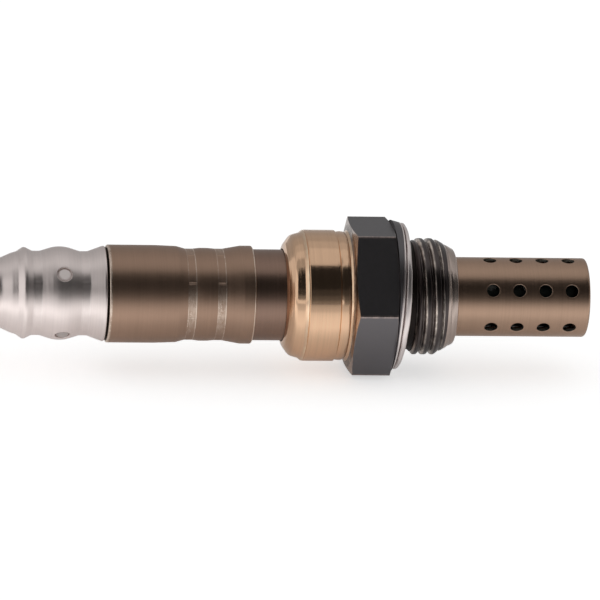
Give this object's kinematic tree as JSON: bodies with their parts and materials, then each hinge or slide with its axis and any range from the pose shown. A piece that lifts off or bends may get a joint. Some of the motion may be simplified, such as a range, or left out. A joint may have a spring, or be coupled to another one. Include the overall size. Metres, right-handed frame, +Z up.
{
  "type": "exhaust oxygen sensor",
  "caption": "Screw-in heated exhaust oxygen sensor with a hexagon, a crush gasket, a perforated probe cover and crimped cases, without its leads.",
  "frame": {"origin": "on the sensor's axis, where the full thread starts behind the gasket", "axes": "+X along the axis towards the probe tip, +Z up with one hexagon flat level underneath"},
  "size_m": [0.1023, 0.0254, 0.0236],
  "materials": {
    "housing_steel": "turned steel, gold heat tint on the collar, dark hexagon",
    "gasket_steel": "bright folded sheet",
    "protector_steel": "brushed, brown heat tint",
    "inner_protector_steel": "satin, dark heat tint",
    "inner_case_steel": "satin, dark brown heat tint",
    "outer_case_steel": "brushed, brown heat tint",
    "cover_steel": "brushed, silver",
    "packing_steel": "plain",
    "spring_steel": "spring steel",
    "element_ceramic": "matt, off white",
    "heater_ceramic": "matt white",
    "ceramic": "matt white",
    "powder": "pressed powder",
    "filter": "porous, grey",
    "grommet_rubber": "matt black rubber",
    "terminal_brass": "plain stamped strip"
  },
  "bodies": {
    "root": {"housing": "housing_steel", "gasket": "gasket_steel", "outer_protector": "protector_steel", "inner_protector": "inner_protector_steel", "inner_case": "inner_case_steel", "outer_case": "outer_case_steel", "dust_cover": "cover_steel", "lower_packing": "packing_steel", "upper_packing": "packing_steel", "clamping_washer": "packing_steel", "caulking_ring": "packing_steel", "separator_holder": "packing_steel", "disc_spring": "spring_steel", "sensing_element": "element_ceramic", "heater_rod": "heater_ceramic", "insulator_sleeve": "ceramic", "terminal_separator": "ceramic", "powder_seal": "powder", "filter_sleeve": "filter", "grommet": "grommet_rubber", "signal_terminal": "terminal_brass", "ground_terminal": "terminal_brass", "heater_terminal_a": "terminal_brass", "heater_terminal_b": "terminal_brass"}
  },
  "joints": []
}
